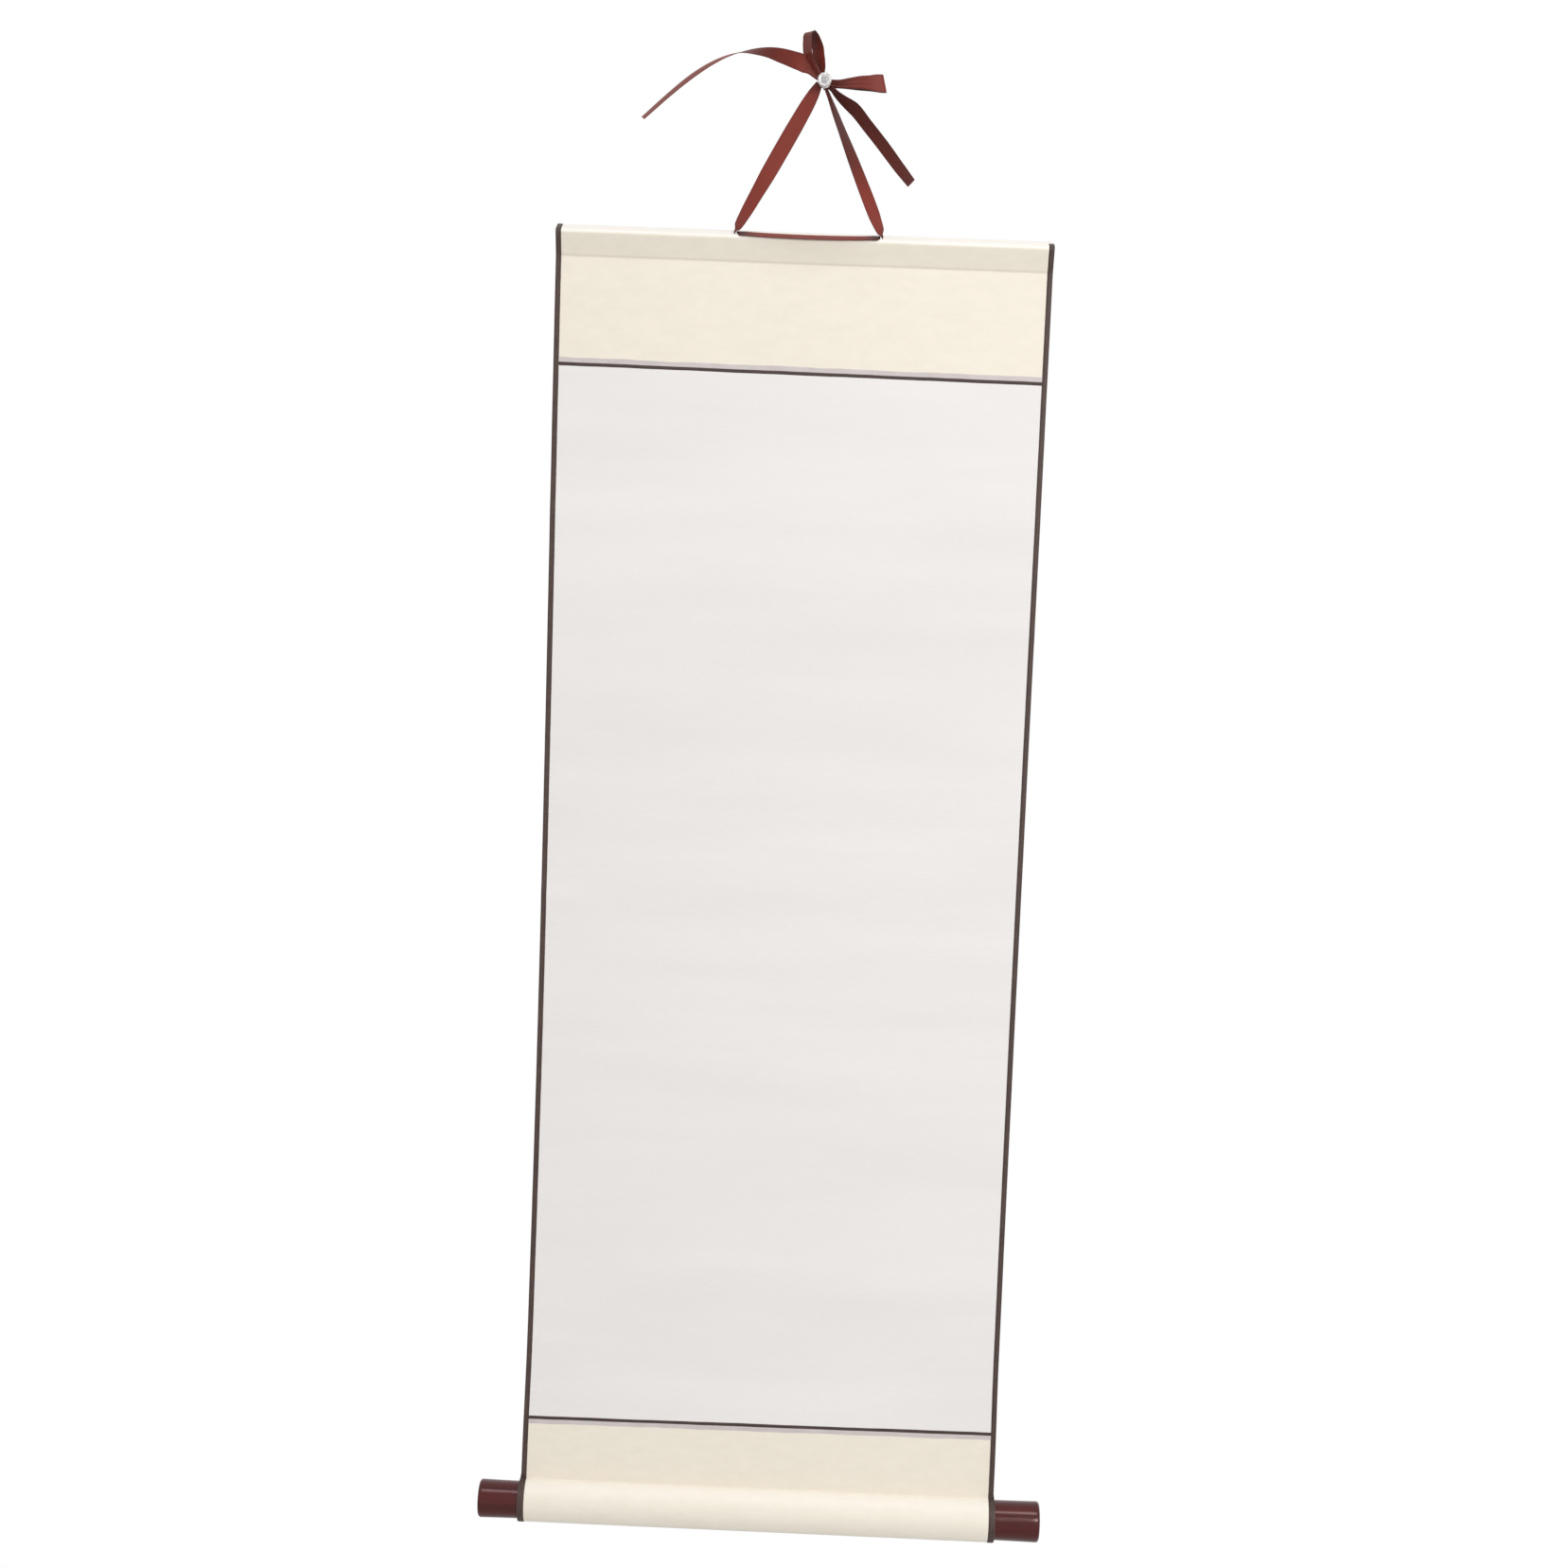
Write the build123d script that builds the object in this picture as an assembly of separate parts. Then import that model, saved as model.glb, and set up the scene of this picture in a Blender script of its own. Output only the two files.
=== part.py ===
from build123d import *
import os
from math import cos, pi, radians, sin, tan

# A blank hanging scroll. A paper panel is mounted between two panels of cream silk on backing paper,
# a batten sits in the top pocket and a wooden roller with two turned knobs in the bottom one, and a
# satin ribbon hangs it from a clear push pin, round which the ribbon is tied in a bow.
# Millimetres, +Z up. The front faces -Y, the wall is the plane y = 0, and the origin is where the
# pin enters the wall.

# The sheet
sheet_width = 350.0
sheet_shift = -9.5            # the sheet's middle, from the pin
edging_width = 3.3
backing_thickness = 0.3
facing_thickness = 0.3
wall_gap = 0.3                # between the wall and what hangs nearest to it

# Heights, each from the one above
crease_drop = 126.5           # from the pin to the crease under the batten
upper_panel_height = 76.1     # from that crease to the upper line
line_spacing = 770.8          # from the upper line to the lower line
lower_panel_height = 48.3     # from the lower line to the crease on top of the roll
line_height = 2.2
accent_height = 3.1
upper_line_skew = -0.3        # degrees, as the strips were pasted
lower_line_skew = 0.45

# The batten in the top pocket leans forward, until the ribbon pulls in line with the sheet
batten_height = 18.0
batten_depth = 14.0
batten_tilt = 21.5
batten_top_radius = 2.0
batten_bottom_radius = 1.5
top_flap_height = 12.0        # the end of the pocket, glued to the back of the sheet

# The roller and its knobs
roller_diameter = 31.2
bottom_flap_height = 6.0
knob_diameter = 28.0
knob_length = 33.0
knob_rim_bevel = 2.0          # turned in two bands
spigot_diameter = 14.0
spigot_length = 16.0
spigot_clearance = 0.05
spigot_chamfer = 1.0
bore_spare_depth = 1.0

# The ribbon
ribbon_width = 12.0
ribbon_thickness = 0.35
ribbon_gathered_width = 7.4   # under the staples
ribbon_pinched_width = 5.0    # in the knot
gather_length = 8.0           # from a staple to where the ribbon lies flat and full
ribbon_shift = 2.5            # the middle of the staples, from the sheet's middle
crossbar_shift = 1.8          # how far the ribbon has slid forward between the staples
staple_spacing = 101.8
knot_diameter = 9.4
knot_depth = 5.2
knot_bevel = 1.5
knot_gap = 0.4                # between the knot and the wall

# The two flat-wire staples that hold the ribbon to the batten
wire_width = 1.0
wire_thickness = 0.6
wire_clearance = 0.1
staple_bend_radius = 0.8
staple_leg_depth = 8.0

# The push pin
pin_diameter = 1.1            # of the stretch that goes into the wall
pin_shank_diameter = 1.5      # in the knot and the grip
pin_point_length = 2.0
pin_wall_depth = 7.0          # from the wall's face to the pin's tip
pin_root_length = 8.0         # inside the grip
pin_knot_clearance = 0.05
grip_clearance = 0.1          # between the knot and the grip
grip_length = 13.0
grip_collar_diameter = 8.4
grip_collar_height = 1.6
grip_waist_diameter = 5.6
grip_head_diameter = 9.8
grip_head_height = 2.6
grip_edge_bevel = 0.6

tilt = radians(batten_tilt)
laminate = backing_thickness + facing_thickness
pocket_overlap = 2 * laminate
left_x = sheet_shift - sheet_width / 2
right_x = sheet_shift + sheet_width / 2

# Where the sheet leaves the batten and where it meets the roll
roll_radius = roller_diameter / 2 + laminate
roll_y = -wall_gap - roll_radius
crease_z = -crease_drop
upper_line_z = crease_z - upper_panel_height
lower_line_z = upper_line_z - line_spacing
roll_top_z = lower_line_z - lower_panel_height
roll_z = roll_top_z - roll_radius
back_corner = (
    backing_thickness * (cos(tilt) - sin(tilt))
    + (batten_depth - batten_bottom_radius) * cos(tilt)
    - batten_bottom_radius * sin(tilt)
    + batten_bottom_radius
    + laminate
)
crease_y = -wall_gap - back_corner


def batten_point(back, up):
    """The y and z of a point, measured from the batten's lower front corner along its own sides."""
    corner = backing_thickness
    return (
        crease_y + (corner + back) * cos(tilt) - (corner + up) * sin(tilt),
        crease_z + (corner + back) * sin(tilt) + (corner + up) * cos(tilt),
    )


def batten_outline(grow):
    """The batten's section, grown by the layers round it. Layers meet the sheet in a sharp crease."""
    low, high, far = -grow, batten_height + grow, batten_depth + grow
    corners = [batten_point(*at) for at in ((low, low), (far, low), (far, high), (low, high))]
    outline = Polygon(*corners, align=None)
    top = batten_top_radius + grow
    bottom = batten_bottom_radius + grow
    radii = [batten_bottom_radius if grow == 0 else 0, bottom, top, top]
    for corner, radius in zip(corners, radii):
        if radius:
            outline = fillet(outline.vertices().sort_by_distance((*corner, 0))[0], radius)
    return outline


def roll_outline(grow):
    return Pos(roll_y, roll_z) * Circle(roller_diameter / 2 + grow)


def sheet_y(z):
    """The face of the backing, from the batten's front down to the roll's top."""
    return crease_y + (roll_y - crease_y) * (crease_z - z) / (crease_z - roll_top_z)


def sheet_strip(front, back):
    """The hanging sheet between two distances from the backing's face, on into both pockets."""
    top = crease_z + pocket_overlap
    bottom = roll_top_z - pocket_overlap
    lower = [(sheet_y(bottom) + front, bottom), (sheet_y(bottom) + back, bottom)]
    upper = [(sheet_y(top) + back, top), (sheet_y(top) + front, top)]
    return Polygon(*lower, *upper, align=None)


def flaps(back):
    """The two pocket ends, glued on behind the sheet. Each runs on into its own pocket's wrap."""
    strip = sheet_strip(0, back)
    top = Rectangle(batten_depth, top_flap_height + pocket_overlap, align=(Align.CENTER, Align.MIN))
    low = Rectangle(roll_radius, bottom_flap_height + pocket_overlap, align=(Align.CENTER, Align.MAX))
    top = Pos(crease_y, crease_z - top_flap_height) * top
    low = Pos(roll_y, roll_top_z + bottom_flap_height) * low
    return strip & (top + low)


def wrap(grow, front, back):
    """Everything inside one layer of the laminate, the batten and the roller included."""
    return batten_outline(grow) + roll_outline(grow) + sheet_strip(front, back) + flaps(grow + back)


def across_sheet(section, start, width):
    return extrude(Plane.YZ.offset(start) * section, amount=width)


def level(z, skew=0.0):
    """A plane across the sheet, which the strips' edges follow."""
    angle = radians(skew)
    return Plane(origin=(sheet_shift, 0, z), z_dir=(-sin(angle), 0, cos(angle)))


def part_off(stock, plane):
    return split(stock, plane, keep=Keep.TOP), split(stock, plane, keep=Keep.BOTTOM)


def staple_places():
    middle = sheet_shift + ribbon_shift
    return {"left": middle - staple_spacing / 2, "right": middle + staple_spacing / 2}


# Heights above the silk on the batten's top, along the batten's own side
batten_top = batten_height + laminate
crown_bend = wire_thickness / 2 ** 0.5 + wire_clearance + ribbon_thickness / 2
wire_up = batten_top + wire_clearance + ribbon_thickness / 2 + crown_bend
staple_reach = ribbon_gathered_width / 2 + staple_bend_radius


def wire_section():
    return Rectangle(wire_width, wire_thickness)


def staple(x):
    """A wire staple, with its crown across the ribbon and its legs driven into the batten."""
    middle = batten_depth / 2
    foot = batten_top - staple_leg_depth
    corners = [
        (middle - staple_reach, foot),
        (middle - staple_reach, wire_up),
        (middle + staple_reach, wire_up),
        (middle + staple_reach, foot),
    ]
    points = [Vector(x, *batten_point(*corner)) for corner in corners]
    path = FilletPolyline(*points, radius=staple_bend_radius)
    foot = Plane(origin=points[0], x_dir=(1, 0, 0), z_dir=points[1] - points[0])
    return sweep(foot * wire_section(), path)


def staple_holes():
    """The two legs' holes of each staple, from above the silk down into the batten."""
    middle = batten_depth / 2
    holes = []
    for x in staple_places().values():
        for reach in (-staple_reach, staple_reach):
            foot = Vector(x, *batten_point(middle + reach, batten_top - staple_leg_depth))
            mouth = Vector(x, *batten_point(middle + reach, batten_top + ribbon_thickness))
            section = Plane(origin=foot, x_dir=(1, 0, 0), z_dir=mouth - foot) * wire_section()
            holes.append(extrude(section, amount=(mouth - foot).length))
    return holes


def knob(side):
    """A turned knob with a bevelled rim, and a spigot for the roller's bore."""
    radius, spigot = knob_diameter / 2, spigot_diameter / 2
    halfway = knob_rim_bevel * sin(pi / 4)
    corners = [
        (0, -spigot_length),
        (spigot - spigot_chamfer, -spigot_length),
        (spigot, spigot_chamfer - spigot_length),
        (spigot, 0),
        (radius, 0),
        (radius, knob_length - knob_rim_bevel),
        (radius - knob_rim_bevel + halfway, knob_length - knob_rim_bevel + halfway),
        (radius - knob_rim_bevel, knob_length),
        (0, knob_length),
    ]
    shape = revolve(Plane.XZ * Polygon(*corners, align=None), Axis.Z)
    start = right_x if side == "right" else left_x
    out = (1, 0, 0) if side == "right" else (-1, 0, 0)
    return Plane(origin=(start, roll_y, roll_z), z_dir=out, x_dir=(0, 1, 0)) * shape


def band(stations):
    """A stretch of ribbon through stations of a centre, a vector across it and a width."""
    wires = []
    for index, (centre, across, width) in enumerate(stations):
        ahead = stations[min(index + 1, len(stations) - 1)][0] - centre
        behind = centre - stations[max(index - 1, 0)][0]
        along = ahead.normalized() + behind.normalized() if ahead.length and behind.length else ahead + behind
        along = along.normalized()
        side = across.normalized() * (width / 2)
        thick = along.cross(side).normalized() * (ribbon_thickness / 2)
        corners = [centre + side + thick, centre - side + thick, centre - side - thick, centre + side - thick]
        wires.append(Wire.make_polygon(corners, close=True))
    return Solid.make_loft(wires, ruled=True)


def turned(points):
    """Stations from x, y, z, width and turn. At a turn of 0 the ribbon faces the front, at 90 the side."""
    centres = [Vector(*point[:3]) for point in points]
    stations = []
    for index, point in enumerate(points):
        ahead = centres[min(index + 1, len(points) - 1)]
        behind = centres[max(index - 1, 0)]
        upright = (ahead - behind).cross(Vector(0, 1, 0)).normalized()
        turn = radians(point[4])
        stations.append((centres[index], upright * cos(turn) + Vector(0, sin(turn), 0), point[3]))
    return stations


# The bow's own depth and the ribbon's width along its stations
knot_y = -knot_gap - knot_depth / 2
full = ribbon_width
pinched = ribbon_pinched_width
crown_turns = (-90, -50, -10, 30)     # degrees round a staple's crown, from under it to its outer side
leg_ends = {"left": (-3.4, -0.6), "right": (0.6, -2.2)}     # in the knot


# How each leg turns on its way up: the share of its length, its turn in degrees and its width
leg_turns = {
    "left": [
        (0.06, 69, 0.8 * full),
        (0.17, 49, full),
        (0.4, 25, full),
        (0.66, 21, full),
        (0.88, 30, 0.88 * full),
        (1.0, 38, pinched),
    ],
    "right": [
        (0.06, 68, 0.78 * full),
        (0.18, 49, full),
        (0.4, 52, full),
        (0.6, 61, full),
        (0.8, 71, 0.92 * full),
        (1.0, 78, pinched),
    ],
}


def leg(side):
    """Stations from under a staple, round its crown, and up to the knot with a quarter turn."""
    x = staple_places()[side]
    out = -1 if side == "left" else 1
    crown = Vector(x, *batten_point(batten_depth / 2, wire_up))
    up = Vector(0, -sin(tilt), cos(tilt))
    back = Vector(0, cos(tilt), sin(tilt))
    crown += Vector(out * (wire_width - wire_thickness) / 2, 0, 0)
    stations = []
    for turn in crown_turns:
        reach = Vector(out * cos(radians(turn)), 0, 0) + up * sin(radians(turn))
        stations.append((crown + reach * crown_bend, back, ribbon_gathered_width))
    start = stations[-1][0]
    end = Vector(leg_ends[side][0], knot_y, leg_ends[side][1])
    upright = (end - start).cross(Vector(0, 1, 0)).normalized() * -out
    for share, turn, width in leg_turns[side]:
        across = upright * cos(radians(turn)) + back * sin(radians(turn))
        stations.append((start + (end - start) * share, across, width))
    return stations


def hanger():
    """From the knot down to one staple, flat along the batten's top, and up again from the other."""
    places = staple_places()
    back = Vector(0, cos(tilt), sin(tilt))
    flat = [
        (places["left"] + wire_width, 0, ribbon_gathered_width),
        (places["left"] + gather_length, crossbar_shift, full),
        (places["right"] - gather_length, crossbar_shift, full),
        (places["right"] - wire_width, 0, ribbon_gathered_width),
    ]
    crossbar = []
    for x, shift, width in flat:
        y, z = batten_point(batten_depth / 2 - shift, batten_top + wire_clearance + ribbon_thickness / 2)
        crossbar.append((Vector(x, y, z), back, width))
    return band(leg("left")[::-1] + crossbar + leg("right"))


def left_tail():
    """The long tail, which arches out to the left, turns over and droops."""
    return band(turned([
        (-1.5, knot_y, 2.2, pinched, 30),
        (-5.0, knot_y - 0.6, 5.2, 0.55 * full, 14),
        (-9.5, -4.6, 9.4, 0.76 * full, 8),
        (-15.0, -6.4, 12.2, full, 10),
        (-23.3, -8.4, 14.7, full, 30),
        (-32.2, -9.8, 16.9, full, 46),
        (-41.1, -10.8, 18.4, full, 66),
        (-52.0, -11.6, 18.4, full, 87),
        (-60.5, -12.0, 17.2, full, 100),
        (-72.0, -12.0, 13.3, full, 107),
        (-86.0, -12.0, 6.0, full, 111),
        (-104.0, -11.6, -8.2, full, 112),
        (-126.6, -10.5, -29.4, full, 111),
    ]))


def right_tail():
    """The shorter tail, down to the right, with its underside to the front."""
    return band(turned([
        (1.5, knot_y, -1.2, pinched, -44),
        (4.7, knot_y - 0.4, -3.5, pinched, -50),
        (12.6, -5.6, -10.3, 0.84 * full, -55),
        (21.4, -8.0, -17.7, full, -50),
        (31.3, -9.3, -29.1, full, -52),
        (45.0, -10.0, -45.2, full, -53),
        (63.7, -10.0, -67.6, full, -62),
    ]))


# The standing loop lies in an upright plane that is swung out of the wall's by this angle. The ribbon
# twists a little on its way round, so each station has its own.
loop_swing = radians(33)
loop_x = -8.5
loop_y = -8.4


def upper_loop():
    """The bow's standing loop, seen nearly edge on. Stations of x, z, width and swing."""
    outline = [
        (-1.5, 2.0, pinched, 30),
        (-4.6, 5.4, pinched, 30),
        (-8.9, 11.0, 0.8 * full, 30),
        (-12.3, 18.5, full, 30),
        (-13.0, 26.0, full, 30),
        (-12.2, 31.2, full, 31),
        (-10.2, 33.4, full, 33),
        (-8.0, 31.4, full, 36),
        (-6.7, 27.0, full, 40),
        (-5.5, 20.5, full, 42),
        (-3.8, 12.5, 0.9 * full, 40),
        (-2.0, 6.0, pinched, 34),
        (-0.6, 2.0, pinched, 30),
    ]
    stations = []
    for x, z, width, swing in outline:
        out = max(0.0, min(1.0, (z - knot_diameter / 2) / knot_diameter))
        y = knot_y + (loop_y - knot_y) * out + (x - loop_x) * tan(loop_swing) * out
        across = Vector(-sin(radians(swing)), cos(radians(swing)), 0)
        stations.append((Vector(x, y, z), across, width))
    return band(stations)


def side_loop():
    """The bow's other loop, pressed flat to the right. Stations of x, y, z, width and slant."""
    fold = [
        (41.7, -8.3, 0.9, full, 0.3),
        (41.7, -7.2, 0.9, full, 0.3),
    ]
    front = [
        (1.0, knot_y - 1.0, -0.3, pinched, 0.0),
        (5.0, knot_y - 1.8, -0.1, pinched, 0.0),
        (15.0, -7.8, -0.5, 0.6 * full, 0.04),
        (25.0, -9.4, 0.2, 0.74 * full, 0.08),
        (36.0, -9.7, 0.5, 0.97 * full, 0.24),
        (40.4, -9.1, 0.8, full, 0.3),
        *fold,
    ]
    behind = [
        *fold,
        (40.4, -6.5, 0.8, full, 0.3),
        (36.0, -5.5, 0.3, 0.97 * full, 0.24),
        (25.0, -4.8, -0.3, 0.74 * full, 0.08),
        (13.0, -3.6, -0.6, 0.56 * full, 0.02),
        (1.0, knot_y + 1.0, -0.5, pinched, 0.0),
    ]
    layers = []
    for layer in (front, behind):
        layers.append(band([(Vector(x, y, z), Vector(-slant, 0, 1), width) for x, y, z, width, slant in layer]))
    return layers[0] + layers[1]


def knot():
    """The tight knot, a bevelled lump."""
    outline = Rectangle(knot_diameter / 2, knot_depth, align=(Align.MIN, Align.CENTER))
    rim = [vertex for vertex in outline.vertices() if vertex.X > knot_diameter / 4]
    return Pos(0, knot_y, 0) * revolve(chamfer(rim, knot_bevel), Axis.Y)


def hanging_ribbon():
    whole = knot()
    for stretch in (hanger(), left_tail(), right_tail(), upper_loop(), side_loop()):
        whole = whole + stretch
    hole = Cylinder(pin_shank_diameter / 2 + pin_knot_clearance, 4 * knot_depth)
    return whole - Rot(90, 0, 0) * hole


# The pin lies along Y, with its tip in the wall
grip_front = -knot_gap - knot_depth - grip_clearance - grip_length


def pin_grip():
    """The clear grip: a collar against the knot, a waist and a head."""
    foot = grip_front + grip_length
    collar, waist, head = grip_collar_diameter / 2, grip_waist_diameter / 2, grip_head_diameter / 2
    edge = grip_edge_bevel
    collar_front = foot - grip_collar_height
    head_back = grip_front + grip_head_height
    corners = [
        (0, foot),
        (collar - edge, foot),
        (collar, foot - edge),
        (waist, collar_front),
        (waist, head_back),
        (head, head_back - edge),
        (head, grip_front + edge),
        (head - edge, grip_front),
        (0, grip_front),
    ]
    socket = Cylinder(pin_shank_diameter / 2, pin_root_length, align=(Align.CENTER, Align.CENTER, Align.MIN))
    socket = Plane(origin=(0, foot, 0), z_dir=(0, -1, 0)) * socket
    return revolve(Polygon(*corners, align=None), Axis.Y) - socket


def pin_point():
    """The steel pin, a hair thicker up to the wall's face, with a conical tip."""
    radius, shank = pin_diameter / 2, pin_shank_diameter / 2
    root = grip_front + grip_length - pin_root_length
    shoulder = pin_wall_depth - pin_point_length
    corners = [(0, root), (shank, root), (shank, 0), (radius, 0), (radius, shoulder), (0, pin_wall_depth)]
    return revolve(Polygon(*corners, align=None), Axis.Y)


def laminate_nodes():
    """The sheet's layers: the backing, the edgings and the strips and panels between them."""
    cores = batten_outline(0) + roll_outline(0)
    backed = wrap(backing_thickness, 0, backing_thickness)
    faced = wrap(laminate, -facing_thickness, backing_thickness)
    backing = backed - cores
    facing = faced - backed

    nodes = {"backing_paper": across_sheet(backing, left_x, sheet_width)}
    nodes["left_edging"] = across_sheet(facing, left_x, edging_width)
    nodes["right_edging"] = across_sheet(facing, right_x - edging_width, edging_width)

    between = across_sheet(facing, left_x + edging_width, sheet_width - 2 * edging_width)
    upper_edge = upper_line_z + line_height / 2
    lower_edge = lower_line_z - line_height / 2
    seams = [
        ("upper_silk", level(upper_edge + accent_height, upper_line_skew)),
        ("upper_accent_strip", level(upper_edge, upper_line_skew)),
        ("upper_line_strip", level(upper_line_z - line_height / 2, upper_line_skew)),
        ("painting_paper", level(lower_line_z + line_height / 2, lower_line_skew)),
        ("lower_line_strip", level(lower_edge, lower_line_skew)),
        ("lower_accent_strip", level(lower_edge - accent_height, lower_line_skew)),
    ]
    for name, plane in seams:
        nodes[name], between = part_off(between, plane)
    nodes["lower_silk"] = between

    for hole in staple_holes():
        nodes["upper_silk"] = nodes["upper_silk"] - hole
        nodes["backing_paper"] = nodes["backing_paper"] - hole
    return nodes


def top_batten():
    stick = across_sheet(batten_outline(0), left_x, sheet_width)
    for hole in staple_holes():
        stick = stick - hole
    return stick


def roller_core():
    dowel = across_sheet(roll_outline(0), left_x, sheet_width)
    bore = Cylinder(spigot_diameter / 2 + spigot_clearance, 2 * (spigot_length + bore_spare_depth))
    for x in (left_x, right_x):
        dowel = dowel - Pos(x, roll_y, roll_z) * Rot(0, 90, 0) * bore
    return dowel


nodes = laminate_nodes()
nodes["top_batten"] = top_batten()
nodes["roller_core"] = roller_core()
nodes["left_knob"] = knob("left")
nodes["right_knob"] = knob("right")
for side, x in staple_places().items():
    nodes[side + "_staple"] = staple(x)
nodes["hanging_ribbon"] = hanging_ribbon()
nodes["pin_grip"] = pin_grip()
nodes["pin_point"] = pin_point()

os.makedirs("parts", exist_ok=True)
for name, shape in nodes.items():
    export_step(shape, "parts/" + name + ".step")
    print(name, len(shape.solids()), "solid", round(shape.volume, 1), "mm3", "valid" if shape.is_valid else "INVALID")
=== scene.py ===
from math import asin, cos, exp, hypot, pi, radians, sin, tan

import bmesh
import bpy
from mathutils import Matrix, Vector


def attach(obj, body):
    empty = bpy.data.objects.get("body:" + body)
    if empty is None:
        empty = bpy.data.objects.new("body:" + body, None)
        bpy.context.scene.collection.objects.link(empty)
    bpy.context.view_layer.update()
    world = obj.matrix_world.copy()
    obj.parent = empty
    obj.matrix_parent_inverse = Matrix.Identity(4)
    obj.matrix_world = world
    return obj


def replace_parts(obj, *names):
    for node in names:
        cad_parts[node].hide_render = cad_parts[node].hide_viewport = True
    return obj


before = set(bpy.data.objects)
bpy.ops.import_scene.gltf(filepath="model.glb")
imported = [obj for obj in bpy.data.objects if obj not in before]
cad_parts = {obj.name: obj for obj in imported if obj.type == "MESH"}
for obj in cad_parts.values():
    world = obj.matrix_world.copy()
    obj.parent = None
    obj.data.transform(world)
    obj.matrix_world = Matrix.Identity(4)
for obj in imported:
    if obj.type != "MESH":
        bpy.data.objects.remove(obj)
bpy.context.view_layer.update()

# A blank hanging scroll: paper and silk panels on backing paper, dark edgings, a batten and a roller
# in their pockets, two turned knobs, and a satin ribbon tied in a bow on a clear push pin.
# Lengths are in millimetres until a mesh is made. +Z is up, and the front faces -Y.

MM = 0.001

# The sheet, the batten, the roll and the ribbon, where the solids are
left_x, right_x = -184.5, 165.5
sheet_width, sheet_middle = right_x - left_x, (left_x + right_x) / 2
edging_width = 3.3
inner_left, inner_right = left_x + edging_width, right_x - edging_width
layer = 0.3                    # the thickness of the backing, and of what is pasted on it
crease_y, crease_z = -13.65, -126.5
roll_y, roll_z, roll_radius = -16.5, -1037.9, 16.2
roll_top_z = roll_z + roll_radius
upper_line_z, lower_line_z = -202.6, -973.4
line_height, accent_height = 2.2, 3.1
half_line = line_height / 2
upper_skew, lower_skew = radians(-0.3), radians(0.45)
tilt = radians(21.5)
batten_height, batten_depth = 18.0, 14.0
batten_back, batten_up = Vector((0, cos(tilt), sin(tilt))), Vector((0, -sin(tilt), cos(tilt)))
batten_top_radius, batten_bottom_radius = 2.0, 1.5
top_flap, bottom_flap = 12.0, 6.0
full = 12.0                    # the ribbon's full width


# Meshes

def place(name, points, faces, finish, slot, sharp=40):
    """A piece from points in millimetres, with smooth faces and sharp edges above an angle."""
    mesh = bpy.data.meshes.new(name)
    mesh.from_pydata([Vector(p) * MM for p in points], [], faces)
    work = bmesh.new()
    work.from_mesh(mesh)
    bmesh.ops.recalc_face_normals(work, faces=work.faces)
    work.to_mesh(mesh)
    work.free()
    mesh.polygons.foreach_set("use_smooth", [True] * len(mesh.polygons))
    mesh.set_sharp_from_angle(angle=radians(sharp))
    piece = bpy.data.objects.new(name, mesh)
    bpy.context.scene.collection.objects.link(piece)
    mesh.materials.append(finish)
    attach(piece, "root")
    return piece


def mark(piece, name, amounts):
    """Gives each point of a piece an amount, such as how worn or faded it is there."""
    piece.data.attributes.new(name, "FLOAT", "POINT").data.foreach_set("value", amounts)


def marked(piece, name, amount):
    """The same, from a function of the point's place in millimetres."""
    mark(piece, name, [amount(point.co / MM) for point in piece.data.vertices])


def slab(columns):
    """Points and faces of a closed thin sheet. A column is a list of pairs, an outer and an inner point."""
    rows = len(columns[0])
    points = [pair[0] for column in columns for pair in column]
    points += [pair[1] for column in columns for pair in column]
    inner = len(columns) * rows
    faces = []
    for c in range(len(columns) - 1):
        for r in range(rows - 1):
            a, b = c * rows + r, (c + 1) * rows + r
            faces.append((a, b, b + 1, a + 1))
            faces.append((inner + a, inner + a + 1, inner + b + 1, inner + b))
    for c in range(len(columns) - 1):
        for r in (0, rows - 1):
            a, b = c * rows + r, (c + 1) * rows + r
            faces.append((a, inner + a, inner + b, b))
    for c in (0, len(columns) - 1):
        for r in range(rows - 1):
            a = c * rows + r
            faces.append((a, a + 1, inner + a + 1, inner + a))
    return points, faces


def tube(rings, closed=False):
    """Points and faces through rings of the same number of points, capped unless the rings close up."""
    count = len(rings[0])
    points = [point for ring in rings for point in ring]
    faces = []
    for r in range(len(rings) if closed else len(rings) - 1):
        start, after = r * count, (r + 1) % len(rings) * count
        for k in range(count):
            n = (k + 1) % count
            faces.append((start + k, start + n, after + n, after + k))
    if not closed:
        faces.append(tuple(range(count)))
        faces.append(tuple(range((len(rings) - 1) * count, len(rings) * count)))
    return points, faces


def joined(shapes):
    """Points and faces of several shapes as one."""
    points, faces = [], []
    for some_points, some_faces in shapes:
        start = len(points)
        points += some_points
        faces += [tuple(start + k for k in face) for face in some_faces]
    return points, faces


def spread(start, end, count):
    """Evenly spaced values, with both ends."""
    return [start + (end - start) * k / (count - 1) for k in range(count)]


def circle(count):
    """Angles round a full turn."""
    return spread(0.0, 2 * pi, count + 1)[:-1]


def smoothstep(value):
    """From 0 to 1 as the value does, starting and ending softly."""
    value = max(0.0, min(1.0, value))
    return value * value * (3 - 2 * value)


# The course that all layers of the sheet follow

def batten_point(back, up):
    """The y and z of a place in the tilted batten, from the lower edge of its front."""
    return (
        crease_y + (layer + back) * cos(tilt) - (layer + up) * sin(tilt),
        crease_z + (layer + back) * sin(tilt) + (layer + up) * cos(tilt),
    )


def in_batten(point):
    """How far back and how far up in the tilted batten a point lies."""
    y, z = point.y - crease_y, point.z - crease_z
    return y * cos(tilt) + z * sin(tilt) - layer, z * cos(tilt) - y * sin(tilt) - layer


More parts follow.
